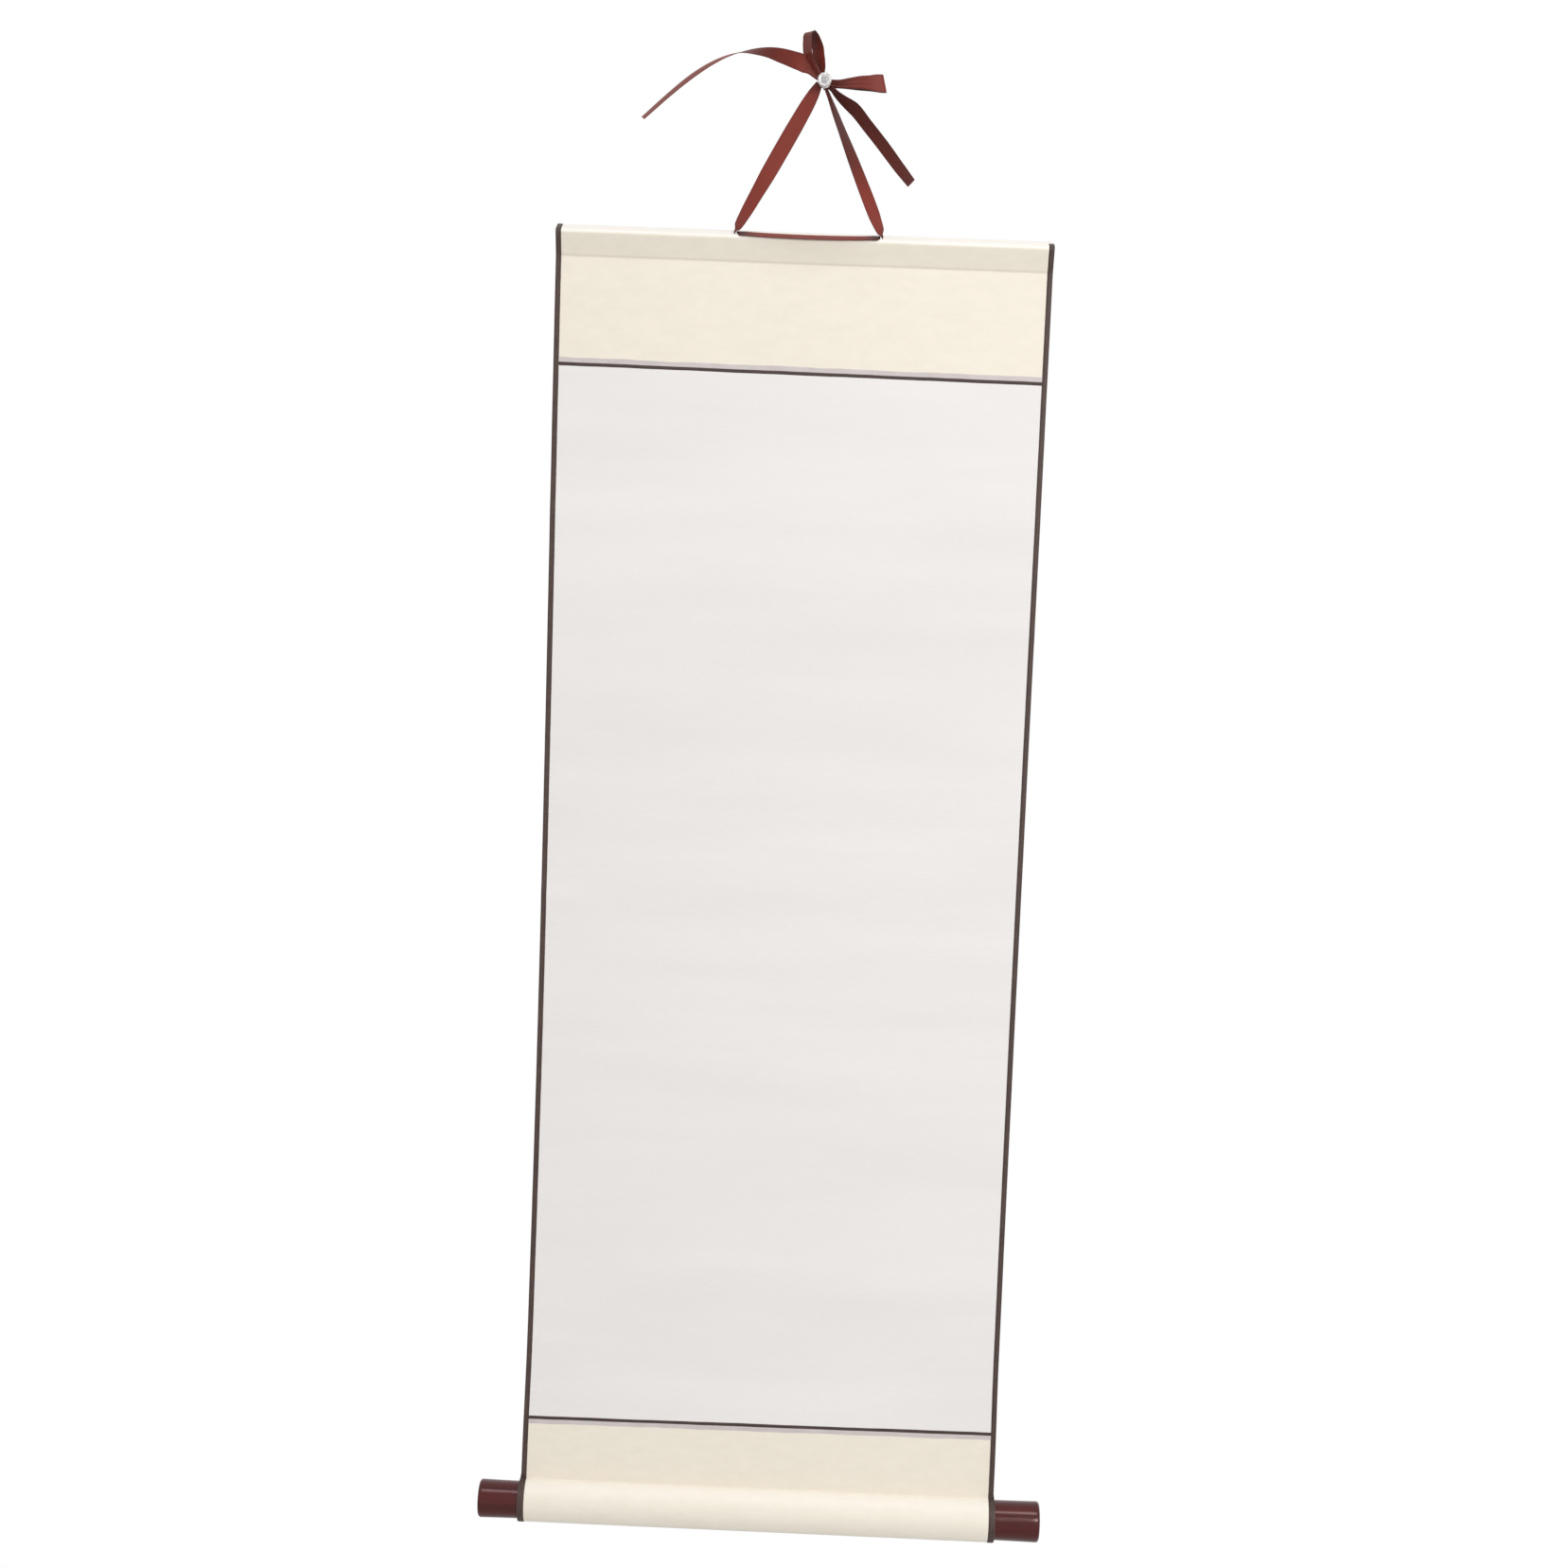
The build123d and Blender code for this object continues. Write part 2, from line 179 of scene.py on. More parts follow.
def sheet_y(z):
    """Where the backing's face hangs, between the batten and the roll."""
    return crease_y + (roll_y - crease_y) * (crease_z - z) / (crease_z - roll_top_z)


# Soft ridges from having been rolled up: height, half width, rise, and how much of it is at the left
# and the right edge
ridges = [
    (-243, 11, 0.30, 1.0, 0.8), (-306, 14, 0.75, 1.0, 0.9), (-352, 10, 0.25, 1.0, 0.2),
    (-381, 7, 0.42, 0.6, 1.0), (-497, 15, 0.30, 0.2, 1.0), (-541, 14, 0.30, 0.3, 1.0),
    (-640, 22, 0.25, 0.8, 0.6), (-745, 26, 0.30, 0.7, 0.7), (-868, 24, 0.28, 0.8, 0.8),
]
# Short ripples at the left edge, one for each turn that it was rolled: height and rise
ripples = [(-467, 0.45), (-583, 0.60), (-694, 0.35), (-806, 0.45), (-914, 0.40)]
ripple_reach, ripple_half, ripple_slope = 34, 6, 0.05
broad_rise, small_rise = 0.16, 0.10
flat_below_crease, flat_above_roll = 50, 30
flap_print = 0.16              # how far the roll's flap pushes the sheet forward


def wave(x, z):
    """How far behind flat the hanging sheet stands. It is below 0 where the sheet comes forward."""
    across = (x - left_x) / sheet_width
    rise = 0.0
    for height, half, most, left, right in ridges:
        rise += most * (left + (right - left) * across) * exp(-((z - height) / half) ** 2)
    for height, most in ripples:
        above = z - height + ripple_slope * (x - left_x)
        rise += most * exp(-((x - left_x) / ripple_reach) ** 2) * exp(-(above / ripple_half) ** 2)
    rise += broad_rise * sin(0.021 * x + 0.9) * sin(0.031 * z + 0.013 * x)
    rise += small_rise * sin(0.047 * x - 0.071 * z)
    held = smoothstep((crease_z - z) / flat_below_crease) * smoothstep((z - roll_top_z) / flat_above_roll)
    flap_end = smoothstep((roll_top_z + bottom_flap + 1 - z) / 2) * smoothstep((z - roll_top_z) / 3)
    return -rise * held - flap_print * flap_end


left_waist, right_waist, waist_drop = 2.2, 0.7, 1.3
spreading, spread_above, spread_height = 0.7, 110, 90


def drawn_in(x, z):
    """Where a point stands sideways: the sheet's edges are a little hollow, and it is widest on the roll."""
    down = max(0.0, min(1.0, (crease_z - z) / (crease_z - roll_top_z)))
    across = (x - left_x) / sheet_width
    hollow = sin(pi * down ** waist_drop) * (left_waist * (1 - across) - right_waist * across)
    wider = spreading * (2 * across - 1) * smoothstep((roll_top_z + spread_above - z) / spread_height)
    return x + hollow + wider


def hang(x, z, outer, inner):
    """The outer and inner point of the sheet at x and z, at distances in front of the backing's face."""
    y = sheet_y(z) + wave(x, z)
    return (drawn_in(x, z), y - outer, z), (drawn_in(x, z), y - inner, z)


def arc(back, up, radius, start, end, count):
    """An arc about a centre, from one angle to another in degrees."""
    turns = [radians(degrees) for degrees in spread(start, end, count)]
    return [(back + radius * cos(turn), up + radius * sin(turn)) for turn in turns]


def round_batten(distance):
    """From the flap behind the sheet, under the batten, up its back, over, and down its front.

    It keeps a distance from the backing's face. Three rounds find where it meets the hanging sheet.
    """
    grow, flap = layer + distance, 2 * layer + distance
    z = crease_z
    for _ in range(3):
        start = (sheet_y(z) + flap - crease_y + (layer - grow) * sin(tilt)) / cos(tilt) - layer
        z = batten_point(start, -grow)[1]
    z = crease_z
    for _ in range(3):
        up = ((layer - grow) * cos(tilt) - (sheet_y(z) - distance - crease_y)) / sin(tilt) - layer
        z = batten_point(-grow, up)[1]
    low, high = batten_bottom_radius, batten_height - batten_top_radius
    rear, fore = batten_depth - batten_top_radius, batten_top_radius
    top_radius, bottom_radius = batten_top_radius + grow, batten_bottom_radius + grow
    route = [(b, -grow) for b in spread(start, batten_depth - low, 5)[:-1]]
    route += arc(batten_depth - low, low, bottom_radius, -90, 0, 7)
    route += [(batten_depth + grow, u) for u in spread(low, high, 6)[1:-1]]
    route += arc(rear, high, top_radius, 0, 90, 7)
    route += [(b, batten_height + grow) for b in spread(rear, fore, 7)[1:-1]]
    route += arc(fore, high, top_radius, 90, 180, 7)
    route += [(-grow, u) for u in spread(high, up, 12)[1:]]
    flap_tip = crease_z - top_flap
    tip = [(sheet_y(z) + flap, z) for z in spread(flap_tip, batten_point(start, -grow)[1], 6)[:-1]]
    return tip + [batten_point(*at) for at in route]


def round_roll(distance):
    """From the roll's top round its front, under it and up behind the sheet to the flap's end."""
    grow, flap = layer + distance, 2 * layer + distance
    radius = roll_radius - 2 * layer + grow
    start = 90 + asin(distance / radius) * 180 / pi
    end = 450 - asin(flap / radius) * 180 / pi
    route = arc(roll_y, roll_z, radius, start, end, 61)
    tip = [(sheet_y(z) + flap, z) for z in spread(route[-1][1], roll_top_z + bottom_flap, 5)[1:]]
    return route + tip


def wrapped(x, route, outer, inner):
    """Pairs along a route, for a layer between two distances from the backing's face."""
    return [((x, *a), (x, *b)) for a, b in zip(route(outer), route(inner))]


def top_wrap(x, outer, inner):
    return wrapped(x, round_batten, outer, inner)


def bottom_wrap(x, outer, inner):
    return wrapped(drawn_in(x, roll_top_z), round_roll, outer, inner)


def upper_seam(x, up):
    """The height of the upper line's middle, or of a place above it."""
    return upper_line_z + up + (x - sheet_middle) * tan(upper_skew)


def lower_seam(x, up):
    """The same for the lower line."""
    return lower_line_z + up + (x - sheet_middle) * tan(lower_skew)


def drop(x, top, bottom, outer, inner, count):
    """Pairs down the hanging sheet from one height to another."""
    return [hang(x, z, outer, inner) for z in spread(top, bottom, count)]


def course(pairs):
    """The length of a column, along the middle of its thickness."""
    middles = [(Vector(a) + Vector(b)) / 2 for a, b in pairs]
    return sum((b - a).length for a, b in zip(middles, middles[1:]))


def uneven(x, seed):
    """From 0 to 1 along a strip's torn or pasted edge."""
    value = sin(0.11 * x + seed) + 0.7 * sin(0.043 * x + 2.1 * seed) + 0.5 * sin(0.29 * x + 3.7 * seed)
    return (value + 2.2) / 4.4


# Materials

def linear(red, green, blue):
    """A colour as a picture shows it, from 0 to 255, as Blender's own linear one."""
    def one(value):
        value /= 255
        return value / 12.92 if value <= 0.04045 else ((value + 0.055) / 1.055) ** 2.4
    return (one(red), one(green), one(blue), 1.0)


class Nodes:
    """Short ways to add nodes to a material's or a world's tree."""

    def __init__(self, tree):
        self.tree = tree

    def add(self, kind, inputs=(), **settings):
        """A node with its settings. Each of its inputs is a plain value or another node's socket."""
        node = self.tree.nodes.new("ShaderNode" + kind)
        for name, value in settings.items():
            setattr(node, name, value)
        for name, value in dict(inputs).items():
            if isinstance(value, bpy.types.NodeSocket):
                self.link(value, node.inputs[name])
            else:
                node.inputs[name].default_value = value
        return node

    def link(self, source, target):
        self.tree.links.new(source, target)

    def part(self, vector, axis):
        """One coordinate of a vector."""
        return self.add("SeparateXYZ", {"Vector": vector}).outputs[axis]

    def ranged(self, value, start, end, low=0.0, high=1.0):
        """A value that goes from low to high while another goes from start to end."""
        inputs = {"Value": value, "From Min": start, "From Max": end, "To Min": low, "To Max": high}
        return self.add("MapRange", inputs).outputs["Result"]

    def maths(self, operation, first, second):
        return self.add("Math", {0: first, 1: second}, operation=operation).outputs["Value"]

    def summed(self, first, first_share, second, second_share):
        shares = self.maths("MULTIPLY", first, first_share), self.maths("MULTIPLY", second, second_share)
        return self.maths("ADD", *shares)


class Finish(Nodes):
    """A material with a Principled shader, and its textures."""

    def __init__(self, name, **settings):
        self.material = bpy.data.materials.new(name)
        self.material.use_nodes = True
        super().__init__(self.material.node_tree)
        self.shader = self.tree.nodes["Principled BSDF"]
        self.place = self.add("TexCoord").outputs["Object"]
        for socket, value in settings.items():
            self.shader.inputs[socket.replace("_", " ")].default_value = value

    def stretched(self, x, y, z, source=None):
        """Coordinates multiplied along each axis, the object's own unless others are given."""
        inputs = {"Vector": source or self.place, "Scale": (x, y, z)}
        return self.add("Mapping", inputs).outputs["Vector"]

    def noise(self, vector, scale, detail=3.0, roughness=0.5):
        inputs = {"Vector": vector, "Scale": scale, "Detail": detail, "Roughness": roughness}
        return self.add("TexNoise", inputs).outputs["Fac"]

    def threads(self, direction, period, distortion):
        """Bands along an axis with a period in millimetres."""
        scale = 2 * pi / (20 * period * MM)
        inputs = {"Vector": self.place, "Scale": scale, "Distortion": distortion, "Detail": 1.0}
        node = self.add("TexWave", inputs, wave_type="BANDS", bands_direction=direction)
        return node.outputs["Fac"]

    def blend(self, factor, first, second):
        """Between two colours, each a plain one or a socket."""
        return self.add("Mix", {0: factor, 6: first, 7: second}, data_type="RGBA").outputs[2]

    def attribute(self, name):
        """What mark has given each point, and 0 where it has given nothing."""
        return self.add("Attribute", attribute_name=name).outputs["Fac"]

    def colour(self, socket):
        self.link(socket, self.shader.inputs["Base Color"])

    def rough(self, socket):
        self.link(socket, self.shader.inputs["Roughness"])

    def bump(self, height, distance, strength):
        """Relief of a distance in millimetres."""
        node = self.add("Bump", {"Height": height, "Distance": distance * MM, "Strength": strength})
        self.link(node.outputs["Normal"], self.shader.inputs["Normal"])


def silk(name, pale, deep, top_light_pale, top_light_deep, shade):
    """Plain woven silk on paper, mottled by the paste behind it, with painted shade along the batten's crease
    and painted light where marked.
    """
    cloth = Finish(name, Roughness=0.55, Specular_IOR_Level=0.5, Sheen_Weight=0.25, Sheen_Roughness=0.35)
    mottle = cloth.noise(cloth.stretched(0.7, 1.0, 1.5), 110, 4.0, 0.62)
    fine = cloth.noise(cloth.stretched(1.0, 1.0, 0.35), 900, 2.0)
    blotch = cloth.ranged(mottle, 0.34, 0.68, 0.1, 0.9)
    slubs = cloth.ranged(fine, 0.3, 0.7, 0.35, 0.65)
    tone = cloth.summed(blotch, 0.7, slubs, 0.3)
    plain_silk = cloth.blend(tone, linear(*deep), linear(*pale))
    # Painted light: a paler silk for top faces, where the light from above falls, as marked.
    painted_top_light = cloth.blend(tone, linear(*top_light_deep), linear(*top_light_pale))
    # Painted shade: a thin darker line along the crease under the batten, in the shade colour.
    shade_z, shade_start, shade_end = crease_z + 0.3, 0.3, 1.5
    above = cloth.maths("SUBTRACT", cloth.part(cloth.place, "Z"), shade_z * MM)
    painted_crease_shade = cloth.ranged(cloth.maths("ABSOLUTE", above, 0.0), shade_start * MM, shade_end * MM, 0.5, 0.0)
    plain_silk = cloth.blend(painted_crease_shade, plain_silk, linear(*shade))
    cloth.colour(cloth.blend(cloth.attribute("painted_top_light"), plain_silk, painted_top_light))
    warp_period, weft_period = 0.42, 0.34
    warp, weft = cloth.threads("X", warp_period, 0.6), cloth.threads("Z", weft_period, 0.6)
    weave = cloth.maths("MULTIPLY", warp, weft)
    cloth.bump(cloth.maths("ADD", weave, cloth.maths("MULTIPLY", mottle, 1.5)), 0.05, 0.6)
    return cloth.material


def paper(name, pale, deep, relief):
    """Long-fibred handmade paper, with faint horizontal bands of painted shade like the shading of the soft
    waves left from having been rolled up.
    """
    sheet = Finish(name, Roughness=0.78, Specular_IOR_Level=0.3)
    # Painted shade: broad bands stretched across the sheet, like the shading of its soft waves.
    bands = sheet.noise(sheet.stretched(0.14, 1.0, 1.0), 26, 4.0, 0.55)
    fibres = sheet.noise(sheet.stretched(0.35, 1.0, 2.2), 620, 3.0, 0.6)
    tone = sheet.summed(sheet.ranged(bands, 0.34, 0.68), 0.6, sheet.ranged(fibres, 0.3, 0.7), 0.4)
    sheet.colour(sheet.blend(tone, linear(*deep), linear(*pale)))
    sheet.bump(sheet.maths("ADD", fibres, bands), relief, 0.5)
    return sheet.material


def dark_paper(name, dark, wear_and_highlight, bare, stretch):
    """The brown paper of the edgings and lines, streaked along it, and paler or bare where marked so: worn on
    the lines, with painted highlight on the edgings.
    """
    strip = Finish(name, Roughness=0.6, Specular_IOR_Level=0.4)
    streaks = strip.noise(strip.stretched(*stretch), 1500, 3.0, 0.6)
    flecks = strip.noise(strip.place, 420, 2.0)
    tone = strip.summed(strip.ranged(streaks, 0.35, 0.65), 0.35, strip.ranged(flecks, 0.4, 0.7), 0.2)
    # The marks make it paler: wear on the lines, painted highlight on the edgings.
    tone = strip.maths("ADD", tone, strip.attribute("wear_and_highlight"))
    brown = strip.blend(tone, linear(*dark), linear(*wear_and_highlight))
    strip.colour(strip.blend(strip.attribute("bare"), brown, linear(*bare)))
    strip.bump(strip.maths("ADD", streaks, flecks), 0.05, 0.6)
    return strip.material


def wood(name, pale, deep, rings, roughness, specular, tint=(1.0, 1.0, 1.0, 1.0)):
    """Wood with its grain along X, bare or under lacquer."""
    stick = Finish(name, Specular_IOR_Level=specular, Specular_Tint=tint)
    grain = stick.noise(stick.stretched(0.05, 1.0, 1.0), rings * 8, 4.0, 0.65)
    broad = stick.noise(stick.stretched(0.12, 1.0, 1.0), rings * 2, 2.0)
    pores = stick.noise(stick.stretched(0.03, 1.0, 1.0), rings * 28, 2.0)
    tone = stick.summed(stick.ranged(grain, 0.32, 0.68), 0.6, stick.ranged(broad, 0.35, 0.65), 0.4)
    stick.colour(stick.blend(tone, linear(*deep), linear(*pale)))
    stick.rough(stick.ranged(pores, 0.35, 0.7, roughness, roughness + 0.12))
    stick.bump(stick.maths("ADD", grain, pores), 0.03, 0.4)
    return stick.material


def satin(name, lit, deep, back, sheen):
    """Satin ribbon: fine threads along it, darker edges, and painted shade, in the colour back, where it is
    marked so.
    """
    band = Finish(
        name, Roughness=0.5, Specular_IOR_Level=0.2, Sheen_Weight=0.05, Sheen_Roughness=0.3,
        Sheen_Tint=linear(*sheen),
    )
    uv = band.add("TexCoord").outputs["UV"]
    clouds = band.noise(band.place, 60, 2.0)
    threads = band.noise(band.stretched(1.1, 0.025, 1.0, uv), 1.0)
    tone = band.summed(clouds, 0.35, threads, 0.65)
    face = band.blend(band.ranged(tone, 0.0, 1.0, 0.3, 0.7), linear(*deep), linear(*lit))
    from_middle = band.maths("ABSOLUTE", band.part(uv, "X"), 0.0)
    edge = band.ranged(from_middle, 4.4, full / 2, 0.0, 0.3)
    # Painted shade from the marks, with the darker edges, turns the face towards back.
    painted_shade = band.maths("ADD", band.attribute("painted_shade"), edge)
    band.colour(band.blend(band.ranged(painted_shade, 0.0, 1.0), face, linear(*back)))
    band.bump(threads, 0.03, 0.5)
    return band.material


def clear_plastic(name, middle, rim):
    """The moulded pin's clear grip, slightly milky, with a greyer middle and faint mould marks."""
    clear = Finish(name, Transmission_Weight=0.5, IOR=1.49, Specular_IOR_Level=0.6)
    clear.colour(clear.blend(clear.attribute("rim"), linear(*middle), linear(*rim)))
    marks = clear.noise(clear.place, 900, 2.0)
    clear.rough(clear.ranged(marks, 0.3, 0.7, 0.12, 0.2))
    clear.bump(marks, 0.02, 0.3)
    return clear.material


def steel(name):
    """Drawn steel wire."""
    metal = Finish(name, Base_Color=(0.62, 0.62, 0.63, 1.0), Metallic=1.0)
    marks = metal.noise(metal.stretched(1.0, 0.1, 1.0), 3000)
    metal.rough(metal.ranged(marks, 0.3, 0.7, 0.25, 0.42))
    metal.bump(marks, 0.01, 0.4)
    return metal.material


# Each silk has a plain pair of colours, a paler pair for painted light on top faces, and a shade colour for
# the painted crease line.
silk_finish = silk(
    "cream_silk", pale=(243, 234, 219), deep=(236, 227, 210),
    top_light_pale=(250, 245, 237), top_light_deep=(246, 240, 231), shade=(216, 204, 188),
)
accent_finish = silk(
    "lilac_grey_silk", pale=(212, 203, 201), deep=(196, 186, 184),
    top_light_pale=(216, 208, 206), top_light_deep=(200, 191, 189), shade=(196, 186, 184),
)
paper_finish = paper("white_paper", pale=(240, 236, 233), deep=(234, 229, 226), relief=0.05)
backing_finish = paper("backing_paper", pale=(238, 234, 226), deep=(227, 221, 210), relief=0.09)
# The paler brown of these papers stands for the lines' wear and for the edgings' painted highlight.
edging_finish = dark_paper(
    "brown_edging", dark=(52, 38, 35), wear_and_highlight=(92, 72, 64), bare=(244, 239, 230), stretch=(1.0, 1.0, 0.06)
)
line_finish = dark_paper(
    "brown_line", dark=(48, 35, 32), wear_and_highlight=(84, 66, 59), bare=(244, 239, 230), stretch=(0.06, 1.0, 1.0)
)
batten_finish = wood(
    "pale_wood", pale=(214, 190, 152), deep=(186, 156, 116), rings=90, roughness=0.55, specular=0.4
)
knob_finish = wood(
    "dark_lacquered_wood", pale=(78, 14, 12), deep=(50, 9, 8), rings=60, roughness=0.15, specular=0.5,
    tint=(1.0, 0.7, 0.7, 1.0),
)
# The ribbon's back colour is its painted shade.
ribbon_finish = satin(
    "brick_red_satin", lit=(150, 65, 52), deep=(106, 40, 33), back=(82, 41, 36), sheen=(224, 160, 140)
)
grip_finish = clear_plastic("clear_plastic", middle=(206, 206, 208), rim=(253, 250, 249))
steel_finish = steel("steel")


# The sheet: its panels, edgings and strips

panel_step, backing_step = 8, 9
painting_rows, upper_rows, lower_rows, backing_rows, edging_rows = 193, 20, 24, 200, 240


def columns_of(left, right, step, make):
    """Columns made at places from left to right, about a step apart."""
    count = max(3, round((right - left) / step) + 1)
    return [make(x) for x in spread(left, right, count)]


def painting_column(x):
    return drop(x, upper_seam(x, -half_line), lower_seam(x, half_line), layer, 0.0, painting_rows)


def upper_silk_column(x):
    edge = upper_seam(x, half_line + accent_height)
    wrap = top_wrap(x, layer, 0.0)
    return wrap + drop(x, wrap[-1][0][2], edge, layer, 0.0, upper_rows)[1:]


def lower_silk_column(x):
    edge = lower_seam(x, -half_line - accent_height)
    wrap = bottom_wrap(x, layer, 0.0)
    return drop(x, edge, wrap[0][0][2], layer, 0.0, lower_rows)[:-1] + wrap


def backing_column(x):
    top, low = top_wrap(x, 0.0, -layer), bottom_wrap(x, 0.0, -layer)
    return top + drop(x, top[-1][0][2], low[0][0][2], 0.0, -layer, backing_rows)[1:-1] + low


def panel(node, column, finish, slot, sharp=40):
    """A paper or silk panel, which stands for its solid."""
    columns = columns_of(inner_left, inner_right, panel_step, column)
    piece = place(node + "_sheet", *slab(columns), finish, slot, sharp)
    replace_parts(piece, node)
    return piece


crease_sharp = 18              # the angle in degrees that keeps the crease under the batten sharp
paper_sheet = panel("painting_paper", painting_column, paper_finish, "paper")
upper_sheet = panel("upper_silk", upper_silk_column, silk_finish, "silk", crease_sharp)
lower_sheet = panel("lower_silk", lower_silk_column, silk_finish, "silk")
backing_form = slab(columns_of(left_x, right_x, backing_step, backing_column))
backing_sheet = place("backing_paper_sheet", *backing_form, backing_finish, "backing", crease_sharp)
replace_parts(backing_sheet, "backing_paper")


def on_batten_top(up):
    """1 on the batten's top face, and 0 from a little below it."""
    fade = 1.5
    return smoothstep((up - batten_height + fade) / fade)


def bare_end(point):
    """The right edging's end is rubbed pale on the rear half of the batten's top."""
    back, up = in_batten(point)
    bare_start, fade = 6, 1.5
    return on_batten_top(up) * smoothstep((back - bare_start) / fade)


def roll_painted_light(point):
    """The roll is a little paler than the silk above it, and paler still near its top, as painted light where
    the light from above falls.
    """
    on_roll = smoothstep((roll_top_z + 1 - point.z) / 2)
    least, most, low, height = 0.1, 0.5, 6, 8
    return on_roll * (least + most * smoothstep((point.z - roll_z - low) / height))


# Painted light: the silk is palest on the batten's top, where the light from above falls
marked(upper_sheet, "painted_top_light", lambda point: on_batten_top(in_batten(point)[1]))
marked(lower_sheet, "painted_top_light", roll_painted_light)

lip, crown, lap = 0.9, 0.28, 0.6
edging_lift, strip_lift, clear_of_panel = 0.04, 0.03, 0.01


def edging(node, start, outward):
    """One edging: a strip with a raised middle, which laps over the panels and stands out past the roll."""
    columns = []
    lap_share = lap / edging_width
    for share in spread(0.0, 1.0, 9) + [1.0 + lap_share / 2, 1.0 + lap_share]:
        side = 2 * share / (1 + lap_share) - 1
        raised = layer + crown * (1 - side ** 4) + edging_lift
        under = 0.0 if share <= 1 else layer + clear_of_panel
        x = start - outward * share * edging_width
        top, low = top_wrap(x, raised, under), bottom_wrap(x, raised, under)
        column = top + drop(x, top[-1][0][2], low[0][0][2], raised, under, edging_rows)[1:-1] + low
        columns.append([tuple(stepped_out(point, share, outward) for point in pair) for pair in column])
    piece = place(node + "_strip", *slab(columns), edging_finish, "edging")
    # Painted highlight along the edging's raised middle and its lip on the roll.
    marked(piece, "wear_and_highlight", lambda point: edging_highlight(point, start, outward))
    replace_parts(piece, node)
    return piece


def stepped_out(point, share, outward):
    """Moves a point of an edging outwards where it is on the roll."""
    x, y, z = point
    out = lip * smoothstep((roll_top_z + 3 - z) / 5) * max(0.0, 1 - share)
    return (x + outward * out, y, z)


def edging_highlight(point, start, outward):
    """An edging has painted highlight along its raised middle, and at its outer edge on the roll, where its
    rounded paper catches the light.
    """
    across = (drawn_in(start, point.z) - point.x) * outward / edging_width
    middle_highlight, middle_half, lip_highlight = 0.28, 0.2, 0.55
    wear_and_highlight = middle_highlight * exp(-((across - 0.5) / middle_half) ** 2)
    on_roll = smoothstep((roll_top_z - point.z) / 4)
    return wear_and_highlight + on_roll * lip_highlight * smoothstep((0.1 - across) / 0.3)


left_strip = edging("left_edging", left_x, -1)
right_strip = edging("right_edging", right_x, 1)
marked(right_strip, "bare", bare_end)

strip_overlap, strip_step, line_wear = 0.4, 2.5, 0.1
strips = {"line": (0.2, line_finish, "edging"), "accent": (0.06, accent_finish, "accent")}


def cross_strip(side, kind, seam, low, height, torn):
    """A strip across the sheet. low is its foot's height above a seam, and torn how far its edges wander."""
    crown, finish, slot = strips[kind]

    def column(x):
        bottom = seam(x, low - torn[0] * uneven(x, 1.3))
        top = seam(x, low + height + torn[1] * uneven(x, 4.1))
        pairs = []
        for share in spread(0.0, 1.0, 7):
            raised = layer + crown * (1 - (2 * share - 1) ** 4) + strip_lift
            pairs.append(hang(x, top + (bottom - top) * share, raised, 0.0))
        return pairs

    columns = columns_of(inner_left - strip_overlap, inner_right + strip_overlap, strip_step, column)
    piece = place(side + "_" + kind + "_ribbon", *slab(columns), finish, slot)
    if kind == "line":
        marked(piece, "wear_and_highlight", lambda point: line_wear)
    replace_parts(piece, side + "_" + kind + "_strip")
    return piece


upper_line = cross_strip("upper", "line", upper_seam, -half_line, line_height, (0.25, 0.25))
lower_line = cross_strip("lower", "line", lower_seam, -half_line, line_height, (0.25, 0.25))
upper_accent = cross_strip("upper", "accent", upper_seam, half_line, accent_height, (0, 0.7))
lower_accent = cross_strip("lower", "accent", lower_seam, -half_line - accent_height, accent_height, (0.7, 0))


def hung_sheet(width, column):
    """Works out a sheet's flat size, as wide as it hangs and as long as its course, and keeps nothing."""
    flat = (width * MM, course(column(sheet_middle)) * MM)


for piece, column in (
    (paper_sheet, painting_column), (upper_sheet, upper_silk_column), (lower_sheet, lower_silk_column),
):
    hung_sheet(inner_right - inner_left, column)
hung_sheet(
    sheet_width, backing_column,
)


# The knobs and the pin's grip

def lathe(outline, origin, out, count=72):
    """A turned shape on a level axis, from distances along it and radii. out is the way it points."""
    side = Vector((0, 0, 1))
    other = out.cross(side)
    ways = [side * cos(turn) + other * sin(turn) for turn in circle(count)]
    rings = []
    for along, radius in outline:
        rings.append([origin + out * along + way * max(radius, 0.01) for way in ways])
    return tube(rings)


spigot_radius, spigot_length, spigot_chamfer = 7.0, 16.0, 1.0
knob_rim, knob_dome, knob_bevel, knob_gap = 2.2, 0.8, 0.35, 0.05
knob_waist, knob_flare = 0.3, 0.35


def knob_outline(radius, length):
    """From the spigot's end to the middle of the knob's domed face. It flares a little to its rim."""
    outline = [(-spigot_length, 0), (-spigot_length, spigot_radius - spigot_chamfer)]
    outline += [(spigot_chamfer - spigot_length, spigot_radius), (0, spigot_radius)]
    foot = radius - 2 * knob_bevel
    outline += [(knob_gap, foot - knob_gap)]
    outline += arc(knob_gap + knob_bevel, foot, knob_bevel, 180, 90, 4)
    rim_start = length - knob_dome - knob_rim
    for share in spread(0.06, 1.0, 9):
        outline.append((share * rim_start, radius - knob_waist + knob_flare * share ** 1.5))
    outline += arc(rim_start, radius - knob_waist + knob_flare - knob_rim, knob_rim, 80, 8, 8)
    for share in spread(0.12, 1.0, 7):
        rise = knob_dome * (1 - (1 - share) ** 2)
        outline.append((length - knob_dome + rise, (radius - knob_rim) * (1 - share)))
    return outline


